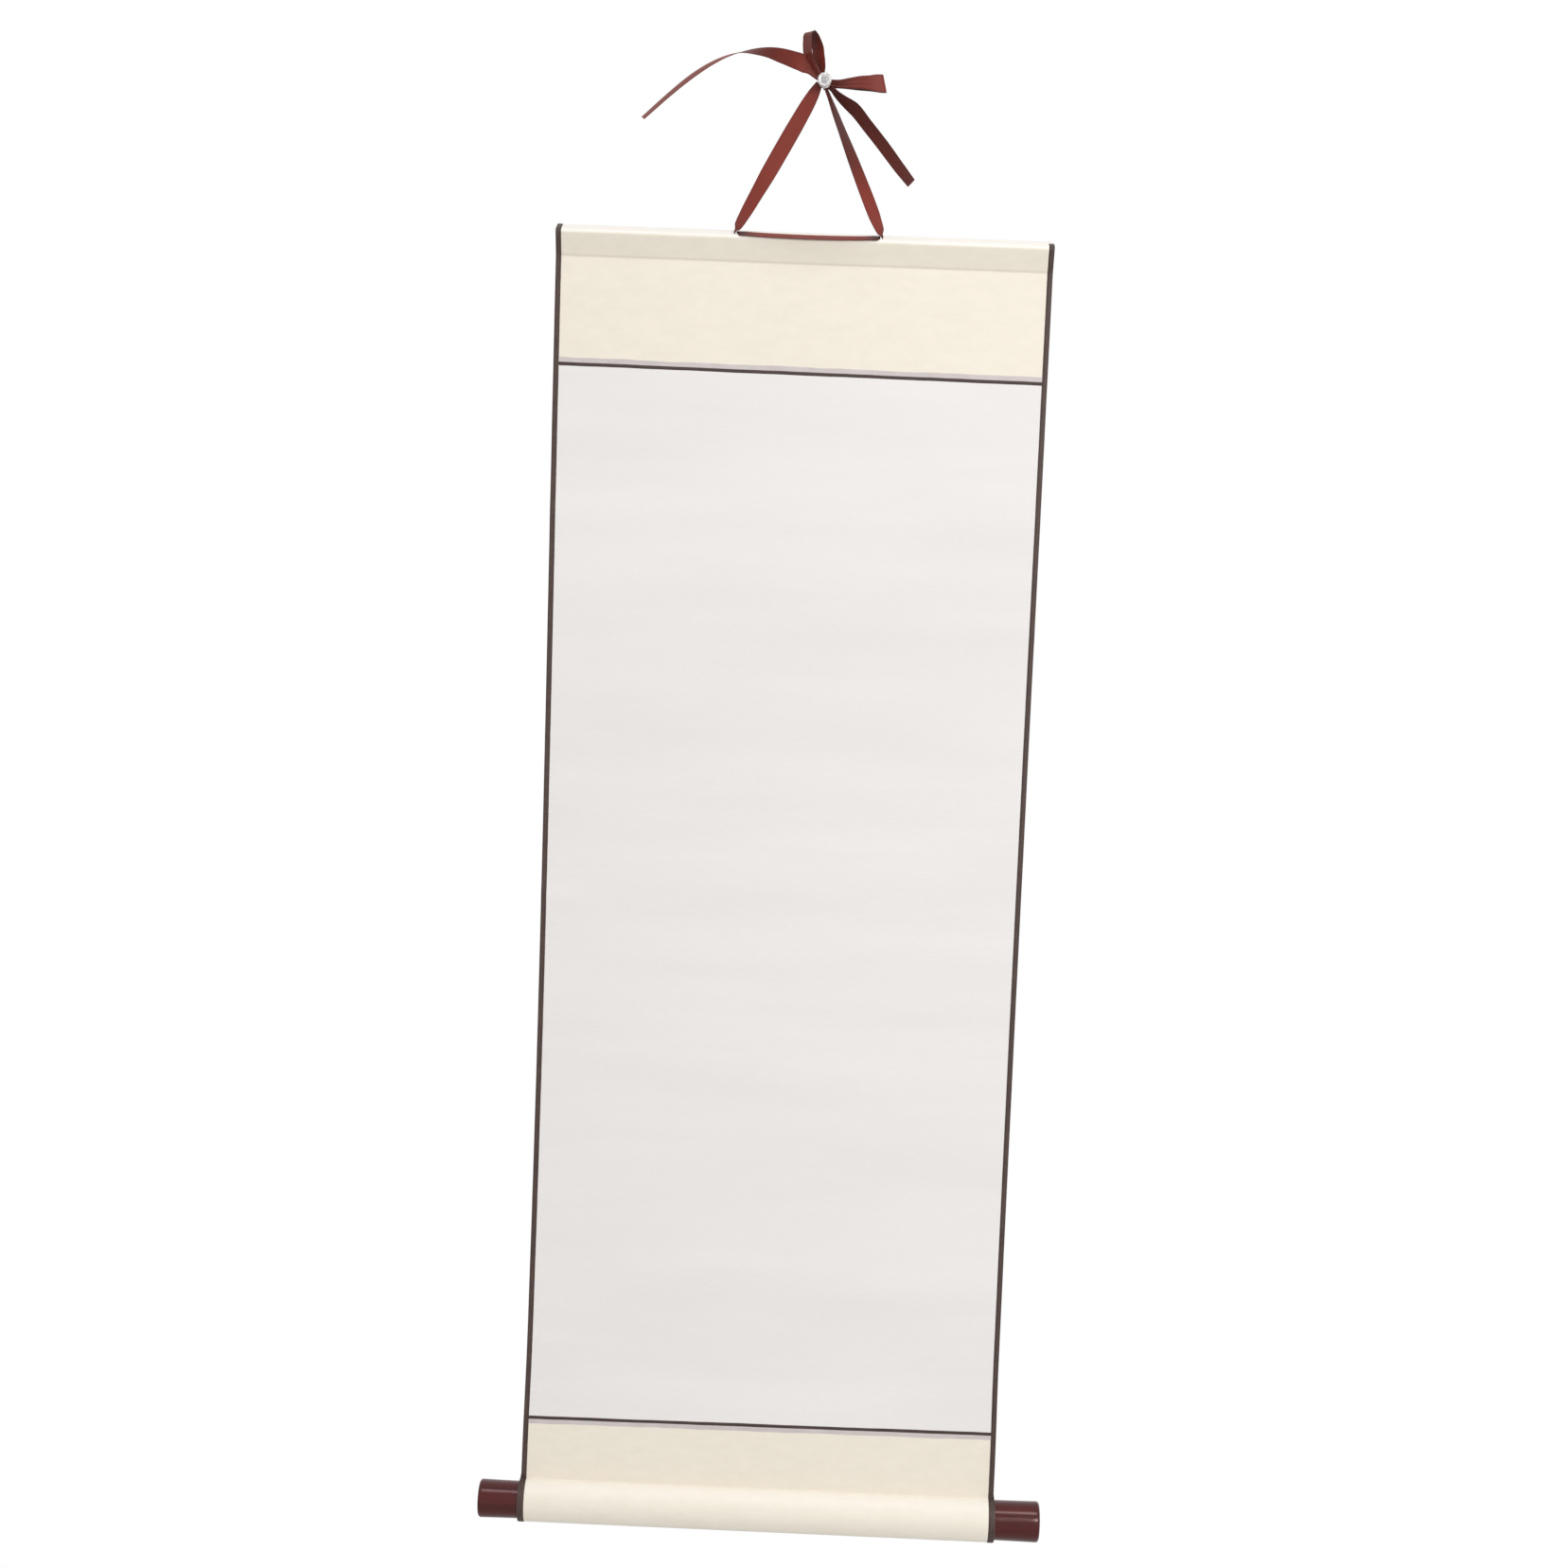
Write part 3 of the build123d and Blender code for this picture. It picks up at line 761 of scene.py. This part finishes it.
def turned_knob(side, start, out, radius, length, sag):
    """A knob in one end of the roller, lower than its middle by its sag."""
    form = lathe(knob_outline(radius, length), Vector((start, roll_y, roll_z - sag)), Vector((out, 0, 0)))
    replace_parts(place(side + "_turned_knob", *form, knob_finish, "knob", 30), side + "_knob")


turned_knob("left", left_x, -1, radius=13.8, length=32.2, sag=0.8)
turned_knob("right", right_x, 1, radius=14.7, length=35.6, sag=0.05)

knot_gap, knot_depth = 0.4, 5.2
knot_y = -knot_gap - knot_depth / 2
grip_length, grip_gap = 13.0, 0.1
grip_foot = -knot_gap - knot_depth - grip_gap
grey_radius, grey_fade = 1.5, 1.5


def grip_outline():
    """From the collar at the knot to the head: a waist with hollow curves between two thick rims."""
    outline = [(0, 0), (0, 3.4)]
    outline += arc(0.6, 3.6, 0.6, 180, 60, 6)
    outline += [(1.6, 3.75), (2.4, 3.15), (3.6, 2.85), (5.4, 2.75)]
    outline += [(7.2, 2.85), (8.8, 3.15), (9.8, 3.7), (10.4, 4.3)]
    outline += arc(grip_length - 1.0, 4.0, 0.9, 120, 15, 7)
    outline += [(grip_length - 0.15, 3.6), (grip_length - 0.35, 3.1), (grip_length - 0.35, 2.4)]
    outline += [(grip_length - 0.05, 1.9), (grip_length, 1.2), (grip_length, 0)]
    return outline


grip_form = lathe(grip_outline(), Vector((0, grip_foot, 0)), Vector((0, -1, 0)), 48)
clear_grip = place("clear_pin_grip", *grip_form, grip_finish, "grip", 30)
marked(clear_grip, "rim", lambda point: smoothstep((hypot(point.x, point.z) - grey_radius) / grey_fade))
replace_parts(clear_grip, "pin_grip")


# The ribbon

gathered, flattened = 5.4, 9.6
pinched = 5.0 / full
ribbon_thickness, edge_thinning = 0.35, 0.35
points_across, pleats, pleat_height = 15, 3, 0.9
crossbar_shift, staple_shift = 3.0, 1.5
gather_length, corner_share, corner_width = 8.0, 0.25, 0.94
wire_clearance, wire_thickness, wire_width = 0.1, 0.6, 1.0
flat_up = batten_height + 2 * layer + wire_clearance + ribbon_thickness / 2
crown_bend = wire_thickness / 2 ** 0.5 + wire_clearance + ribbon_thickness / 2
staple_x = {"left": -57.9, "right": 43.9}
tail_cup = 0.02                # how deep the free ribbon is hollow, as a share of its width


def smoothed(stations, step):
    """More stations, on a smooth curve through the given ones: a centre, a vector across and a width."""
    rows = [list(centre) + list(across) + [width] for centre, across, width in stations]
    spans = [max((Vector(b[:3]) - Vector(a[:3])).length, 0.05) for a, b in zip(rows, rows[1:])]
    slopes = [[(q - p) / span for p, q in zip(a, b)] for a, b, span in zip(rows, rows[1:], spans)]
    tangents = [slopes[0]]
    for before, after, first, second in zip(slopes, slopes[1:], spans, spans[1:]):
        centre_part = [(p * second + q * first) / (first + second) for p, q in zip(before[:3], after[:3])]
        other_part = [settled(p, q, first, second) for p, q in zip(before[3:], after[3:])]
        tangents.append(centre_part + other_part)
    tangents.append(slopes[-1])
    fine = []
    for k, span in enumerate(spans):
        ends = list(zip(rows[k], rows[k + 1], tangents[k], tangents[k + 1]))
        count = max(2, min(24, round(span / step)))
        for j in range(count):
            fine.append([eased(p, q, span * leave, span * arrive, j / count) for p, q, leave, arrive in ends])
    fine.append(rows[-1])
    return [(Vector(row[:3]), Vector(row[3:6]).normalized(), row[6]) for row in fine]


def eased(start, end, leave, arrive, t):
    """A cubic from start to end, at t from 0 to 1, with its slopes at both ends."""
    t2, t3 = t * t, t * t * t
    return (
        (2 * t3 - 3 * t2 + 1) * start + (t3 - 2 * t2 + t) * leave
        + (3 * t2 - 2 * t3) * end + (t3 - t2) * arrive
    )


def settled(before, after, first, second):
    """A slope between two others, over spans of two lengths, that never swings past them."""
    if before * after <= 0:
        return 0.0
    early, late = 2 * second + first, second + 2 * first
    return (early + late) / (early / before + late / after)


def between(steps, value):
    """The value at a place along steps of a place and a value, straight from one to the next."""
    for (start, low), (end, high) in zip(steps, steps[1:]):
        if value <= end:
            return low + (high - low) * max(0.0, value - start) / (end - start)
    return steps[-1][1]


def strap(stations, painted_shade, cup=0.0, step=1.0):
    """A closed strap through stations. Where it is narrower than the ribbon it lies in pleats.

    The shade table gives how dark the ribbon is painted, as painted shade, at shares of its length. The notes
    give each point's place across and along the ribbon, and its painted shade.
    """
    fine = smoothed(stations, step)
    rings, notes = [], []
    length = 0.0
    total = sum((b[0] - a[0]).length for a, b in zip(fine, fine[1:]))
    for index, (centre, across, width) in enumerate(fine):
        ahead = fine[min(index + 1, len(fine) - 1)][0]
        behind = fine[max(index - 1, 0)][0]
        thick = (ahead - behind).normalized().cross(across).normalized()
        slack = max(0.0, 1 - width / full)
        length += (centre - behind).length
        upper, lower, row = [], [], []
        for u in spread(-1.0, 1.0, points_across):
            pleat = pleat_height * slack * cos(pleats * pi * u) * (1 - 0.3 * u * u)
            half = ribbon_thickness / 2 * (1 - edge_thinning * u ** 8)
            middle = centre + across * (width / 2 * u) + thick * (cup * width * (u * u - 0.33) + pleat)
            upper.append(middle + thick * half)
            lower.append(middle - thick * half)
            row.append((u * full / 2, length, between(painted_shade, length / total)))
        rings.append(upper + lower[::-1])
        notes += row + row[::-1]
    return (*tube(rings), notes)


def turned(points):
    """Stations from x, y, z, a share of the full width, and a turn: 0 faces the front and 90 the side."""
    centres = [Vector(point[:3]) for point in points]
    stations = []
    for index, point in enumerate(points):
        ahead = centres[min(index + 1, len(points) - 1)]
        behind = centres[max(index - 1, 0)]
        upright = (ahead - behind).cross(Vector((0, 1, 0))).normalized()
        turn = radians(point[4])
        stations.append((centres[index], upright * cos(turn) + Vector((0, sin(turn), 0)), point[3] * full))
    return stations


# The legs' ends in the knot, as x and z. Their stations: a share of the way up, a turn in degrees and a
# share of the full width
leg_ends = {"left": (-3.6, -0.6), "right": (0.2, -2.2)}
leg_turns = {
    "left": [
        (0.03, 58, 0.78), (0.086, 54, 0.96), (0.154, 47, 1.0), (0.25, 39, 1.0), (0.443, 20, 1.0),
        (0.637, 18, 1.0), (0.83, 26, 0.96), (0.927, 29, 0.8), (1, 36, 0.5),
    ],
    "right": [
        (0.03, 57, 0.74), (0.086, 52, 0.9), (0.154, 48, 1.0), (0.25, 46.5, 1.0), (0.347, 48.5, 1.0),
        (0.443, 52, 1.0), (0.54, 57, 1.0), (0.637, 63.5, 1.0), (0.733, 69, 0.98), (0.83, 71, 0.88),
        (0.927, 75, 0.66), (1, 78, 0.45),
    ],
}


def leg(side):
    """From under a staple, round its crown, and up to the knot with a quarter turn."""
    out = -1 if side == "left" else 1
    crown = Vector((staple_x[side], *batten_point(batten_depth / 2 - staple_shift, flat_up + crown_bend)))
    crown += Vector((out * (wire_width - wire_thickness) / 2, 0, 0))
    stations = []
    for turn in (-90, -50, -10, 30):
        reach = Vector((out * cos(radians(turn)), 0, 0)) + batten_up * sin(radians(turn))
        stations.append((crown + reach * crown_bend, batten_back, gathered))
    start = stations[-1][0]
    end = Vector((leg_ends[side][0], knot_y, leg_ends[side][1]))
    upright = (end - start).cross(Vector((0, 1, 0))).normalized() * -out
    for share, turn, width in leg_turns[side]:
        across = upright * cos(radians(turn)) + batten_back * sin(radians(turn))
        stations.append((start + (end - start) * share, across, width * full))
    return stations


def hanger():
    """Down from the knot to one staple, flat along the batten's top, and up again from the other."""
    left, right = [], []
    for distance, shift, width in (
        (wire_width, staple_shift, gathered),
        (corner_share * gather_length, (crossbar_shift + staple_shift) / 2, corner_width * flattened),
        (gather_length, crossbar_shift, flattened),
    ):
        y, z = batten_point(batten_depth / 2 - shift, flat_up)
        left.append((Vector((staple_x["left"] + distance, y, z)), batten_back, width))
        right.append((Vector((staple_x["right"] - distance, y, z)), batten_back, width))
    # Painted shade: dark in the gathers at the staples, near the knot, and up the right leg's upper half,
    # which lies in the tail's shadow.
    return strap(leg("left")[::-1] + left + right[::-1] + leg("right"), [
        (0, 0.5), (0.04, 0.15), (0.3, 0.0), (0.335, 0.1), (0.352, 0.7), (0.358, 1.3), (0.375, 1.0),
        (0.39, 0.35), (0.42, 0.15), (0.6, 0.15), (0.63, 0.35), (0.642, 1.0), (0.658, 1.3), (0.665, 0.7),
        (0.685, 0.1), (0.76, 0.1), (0.8, 0.45), (0.84, 0.8), (0.9, 1.0), (1, 1.0),
    ])


def left_tail():
    """The long tail: it arches out to the left, turns over and droops."""
    # Painted shade: darker where it leaves the knot, and a little all along.
    return strap(turned([
        (-1.5, knot_y, 2.2, pinched, 30), (-5.0, knot_y - 0.6, 5.2, 0.55, 14),
        (-9.5, -4.6, 9.4, 0.76, 8), (-15.0, -6.4, 12.2, 1, 10),
        (-23.3, -8.4, 14.7, 1, 30), (-32.2, -9.8, 16.9, 1, 46),
        (-41.1, -10.8, 18.4, 1, 66), (-49.5, -11.4, 18.5, 1, 81),
        (-56.0, -11.8, 18.0, 1, 93), (-60.5, -12.0, 17.2, 1, 100),
        (-68.1, -12.0, 14.9, 1, 106), (-78.6, -12.0, 9.8, 1, 111),
        (-90.6, -12.0, 1.9, 1, 114), (-98.7, -11.8, -4.4, 1, 114),
        (-106.9, -11.5, -11.4, 1, 113), (-126.6, -10.5, -29.4, 1, 111),
    ]), [(0, 0.8), (0.06, 0.35), (0.15, 0.15), (1, 0.15)], tail_cup)


def right_tail():
    """The shorter tail, down to the right, with its underside to the front."""
    # Painted shade: dark all along, most near the knot, as its underside looks down, away from the light.
    return strap(turned([
        (1.5, knot_y, -1.2, pinched, -44), (4.7, knot_y - 0.4, -3.5, pinched, -50),
        (8.2, -4.2, -7.2, 0.56, -54), (12.3, -5.6, -10.8, 0.76, -55),
        (21.4, -8.0, -17.7, 1, -50), (31.3, -9.3, -29.1, 1, -52),
        (42.8, -10.0, -42.5, 1, -52), (54.1, -10.2, -56.4, 1, -55),
        (63.7, -10.0, -67.6, 1, -62),
    ]), [(0, 1.0), (0.25, 0.8), (0.6, 0.55), (1, 0.4)], tail_cup)


loop_swing, loop_x, loop_y, loop_out_z = radians(33), -8.5, -8.4, 18


def upper_loop():
    """The bow's standing loop, seen nearly edge on. Stations of x, z, width and swing."""
    outline = [
        (-1.5, 2.0, pinched, 30), (-4.8, 5.4, 0.5, 30),
        (-8.9, 11.0, 0.8, 30), (-12.0, 17.0, 0.98, 30),
        (-13.0, 23.0, 1, 30), (-13.1, 28.0, 1, 30),
        (-12.9, 31.3, 1, 31), (-11.4, 33.4, 1, 33),
        (-10.0, 32.1, 1, 36), (-7.9, 28.2, 1, 41),
        (-6.0, 23.5, 1, 43), (-4.9, 17.0, 1, 43),
        (-3.4, 11.0, 0.88, 40), (-1.9, 6.0, 0.55, 34),
        (-0.6, 2.0, pinched, 30),
    ]
    stations = []
    for x, z, width, swing in outline:
        out = smoothstep(z / loop_out_z)
        y = knot_y + (loop_y - knot_y) * out + (x - loop_x) * tan(loop_swing) * out
        across = Vector((-sin(radians(swing)), cos(radians(swing)), 0))
        stations.append((Vector((x, y, z)), across, width * full))
    # Painted shade: darkest where the loop's inner face, which looks down, comes into view.
    painted_shade = [(0, 0.3), (0.15, 0.15), (0.4, 0.2), (0.55, 0.7), (0.63, 0.4), (0.72, 0.0), (1, 0.1)]
    return strap(stations, painted_shade, tail_cup, step=0.8)


def side_loop():
    """The bow's other loop, pressed flat to the right. Stations of x, y, z, width and slant."""
    route = [
        (1, knot_y - 1, -0.3, pinched, 0.0), (5.0, knot_y - 1.8, -0.1, pinched, 0.0),
        (9.9, -6.4, -0.8, 0.5, 0.02), (17.4, -8.2, -0.3, 0.62, 0.04),
        (25.0, -9.4, 0.3, 0.74, 0.08), (32.0, -9.9, 0.2, 0.86, 0.16),
        (37.4, -9.6, 0.1, 1.03, 0.22), (40.8, -9.0, 0.2, 1.05, 0.24),
        (42.1, -7.8, 0.3, 1.05, 0.24), (41.1, -6.4, 0.2, 1.05, 0.24),
        (38.4, -5.7, 0.1, 1, 0.22), (32.0, -5.2, 0.0, 0.84, 0.16),
        (25.0, -4.8, -0.3, 0.72, 0.08), (13.0, -3.6, -0.6, 0.5, 0.02),
        (1, knot_y + 1, -0.5, pinched, 0.0),
    ]
    stations = [(Vector((x, y, z)), Vector((-slant, 0, 1)), width * full) for x, y, z, width, slant in route]
    # Painted shade: dark at the knot and along the strand that returns behind, lightest at the loop's far
    # end.
    painted_shade = [(0, 1.0), (0.1, 0.75), (0.25, 0.45), (0.4, 0.25), (0.5, 0.2), (0.53, 0.9), (1, 1.0)]
    return strap(stations, painted_shade, step=0.8)


# The knot's turns and its heart carry painted shade, the shade inside the tight knot.
turn_rings, turn_half_thickness, turn_step, turn_shade = 40, 0.2, 0.6, 0.6
turn_squeeze, turn_bulge, turn_flute = 0.12, 0.55, 0.16
heart_half, heart_deep, heart_high = 3.7, 2.0, 3.6
heart_rings, heart_corners, heart_flute, heart_shade = 12, 32, 0.06, 0.8


def knot_turn(lean, high, deep, width, shift):
    """One turn of ribbon drawn tight round the knot, leaning from upright."""
    side, up = Vector((cos(lean), 0, sin(lean))), Vector((-sin(lean), 0, cos(lean)))
    rings, notes = [], []
    for k, turn in enumerate(circle(turn_rings)):
        centre = side * shift + up * (high * cos(turn)) + Vector((0, knot_y + deep * sin(turn), 0))
        out = (up * (cos(turn) / high) + Vector((0, sin(turn) / deep, 0))).normalized()
        squeeze = 1 + turn_squeeze * cos(2 * turn)
        upper, lower, row = [], [], []
        for u in spread(-1.0, 1.0, points_across):
            bulge = turn_bulge * (1 - u * u) + turn_flute * cos(4 * pi * u)
            middle = centre + side * (width / 2 * u * squeeze) + out * bulge
            upper.append(middle + out * turn_half_thickness)
            lower.append(middle - out * turn_half_thickness)
            row.append((u * full / 2, turn_step * k, turn_shade))
        rings.append(upper + lower[::-1])
        notes += row + row[::-1]
    return (*tube(rings, closed=True), notes)


def knot_heart():
    """What fills the knot inside its turns: a lightly fluted egg."""
    rings = []
    for k in range(1, heart_rings):
        turn = pi * k / heart_rings
        ring = []
        for angle in circle(heart_corners):
            radius = sin(turn) * (1 + heart_flute * cos(5 * angle))
            y, z = knot_y + heart_deep * radius * cos(angle), heart_high * radius * sin(angle)
            ring.append(Vector((heart_half * cos(turn), y, z)))
        rings.append(ring)
    points, faces = tube(rings)
    return points, faces, [(point.x, point.z, heart_shade) for point in points]


ribbon_parts = [
    hanger(), left_tail(), right_tail(), upper_loop(), side_loop(), knot_heart(),
    knot_turn(radians(24), high=3.9, deep=2.1, width=5.4, shift=0.5),
    knot_turn(radians(-62), high=3.6, deep=1.9, width=4.6, shift=-0.4),
]
ribbon_form = joined([(points, faces) for points, faces, notes in ribbon_parts])
ribbon_notes = [note for points, faces, notes in ribbon_parts for note in notes]
ribbon = place("satin_ribbon", *ribbon_form, ribbon_finish, "ribbon", 50)
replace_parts(ribbon, "hanging_ribbon")
# Painted shade on the ribbon, from the tables above.
mark(ribbon, "painted_shade", [painted_shade for across, along, painted_shade in ribbon_notes])
along_layer = ribbon.data.uv_layers.new(name="along")
for corner in ribbon.data.loops:
    along_layer.data[corner.index].uv = ribbon_notes[corner.vertex_index][:2]


# The solids that stay as they are

for finish, names in (
    (batten_finish, ("top_batten", "roller_core")),
    (steel_finish, ("left_staple", "right_staple", "pin_point")),
):
    for name in names:
        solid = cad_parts[name].data
        solid.materials.clear()
        solid.materials.append(finish)


# The floor, the lights and the camera

floor_middle, floor_radius, floor_corners = Vector((0, -350, -1350)), 1500.0, 96
fade_start, fade_end = 450, 850


def floor():
    """A pale round floor with the object's soft shadow, which fades to white further out."""
    ways = [Vector((cos(turn), sin(turn), 0)) for turn in circle(floor_corners)]
    edge = [floor_middle + way * floor_radius for way in ways]
    mesh = bpy.data.meshes.new("floor")
    mesh.from_pydata([point * MM for point in edge], [], [tuple(range(floor_corners))])
    disc = bpy.data.objects.new("floor", mesh)
    bpy.context.scene.collection.objects.link(disc)
    pale = Finish("pale_floor", Roughness=0.9, Base_Color=linear(238, 238, 238))
    away = pale.add("VectorMath", {0: pale.place, 1: floor_middle * MM}, operation="DISTANCE")
    fade = pale.ranged(away.outputs["Value"], fade_start * MM, fade_end * MM)
    seen = pale.add("LightPath").outputs["Is Camera Ray"]
    share, glow = pale.maths("MULTIPLY", fade, seen), pale.add("Emission").outputs["Emission"]
    mixed = pale.add("MixShader", {0: share, 1: pale.shader.outputs["BSDF"], 2: glow})
    pale.link(mixed.outputs["Shader"], pale.tree.nodes["Material Output"].inputs["Surface"])
    mesh.materials.append(pale.material)


def lamp(name, centre, aim, width, height, power, colour=(1.0, 1.0, 1.0)):
    """A soft rectangular lamp, in metres and watts."""
    data = bpy.data.lights.new(name, "AREA")
    data.shape = "RECTANGLE"
    data.size, data.size_y = width, height
    data.energy = power
    data.color = colour
    light = bpy.data.objects.new(name, data)
    light.location = Vector(centre)
    light.rotation_mode = "QUATERNION"
    light.rotation_quaternion = (Vector(aim) - Vector(centre)).to_track_quat("-Z", "Y")
    bpy.context.scene.collection.objects.link(light)


def surroundings(low, high):
    """A soft light, weaker from below than from above. It is white to the camera and in reflections."""
    world = bpy.data.worlds.new("studio")
    bpy.context.scene.world = world
    world.use_nodes = True
    studio = Nodes(world.node_tree)
    background = studio.tree.nodes["Background"]
    background.inputs["Color"].default_value = (1, 1, 1, 1)
    way = studio.add("TexCoord").outputs["Generated"]
    level = studio.ranged(studio.part(way, "Z"), -1.0, 1.0, low, high)
    path = studio.add("LightPath").outputs
    seen = studio.maths("MAXIMUM", path["Is Camera Ray"], path["Is Glossy Ray"])
    seen = studio.maths("MAXIMUM", seen, path["Is Transmission Ray"])
    studio.link(studio.maths("MAXIMUM", seen, level), background.inputs["Strength"])


camera_place = Vector((20, -1775, -296))
camera_yaw, camera_pitch, camera_roll = radians(-0.96), radians(6.44), radians(2.20)
photo_side, focal_pixels, sensor = 1657, 2600, 36.0


def camera():
    """Where the photograph was taken from."""
    data = bpy.data.cameras.new("camera")
    data.sensor_width = sensor
    data.lens = sensor * focal_pixels / photo_side
    data.clip_start, data.clip_end = 0.05, 50.0
    eye = bpy.data.objects.new("camera", data)
    aim = Matrix.Rotation(-camera_yaw, 4, "Z") @ Matrix.Rotation(pi / 2 - camera_pitch, 4, "X")
    eye.matrix_world = Matrix.Translation(camera_place * MM) @ aim @ Matrix.Rotation(camera_roll, 4, "Z")
    bpy.context.scene.collection.objects.link(eye)
    bpy.context.scene.camera = eye


floor()
surroundings(low=0.12, high=0.6)
lamp(
    "window", centre=(1.0, -2.2, 0.35), aim=(-0.01, 0.0, -0.55), width=1.0, height=0.5, power=30.3,
    colour=(0.985, 0.995, 1.0),
)
lamp("ceiling", centre=(0.0, -1.1, 1.8), aim=(-0.01, -0.1, -0.5), width=1.5, height=0.6, power=15.5)
camera()

bpy.context.scene.view_settings.view_transform = "Standard"
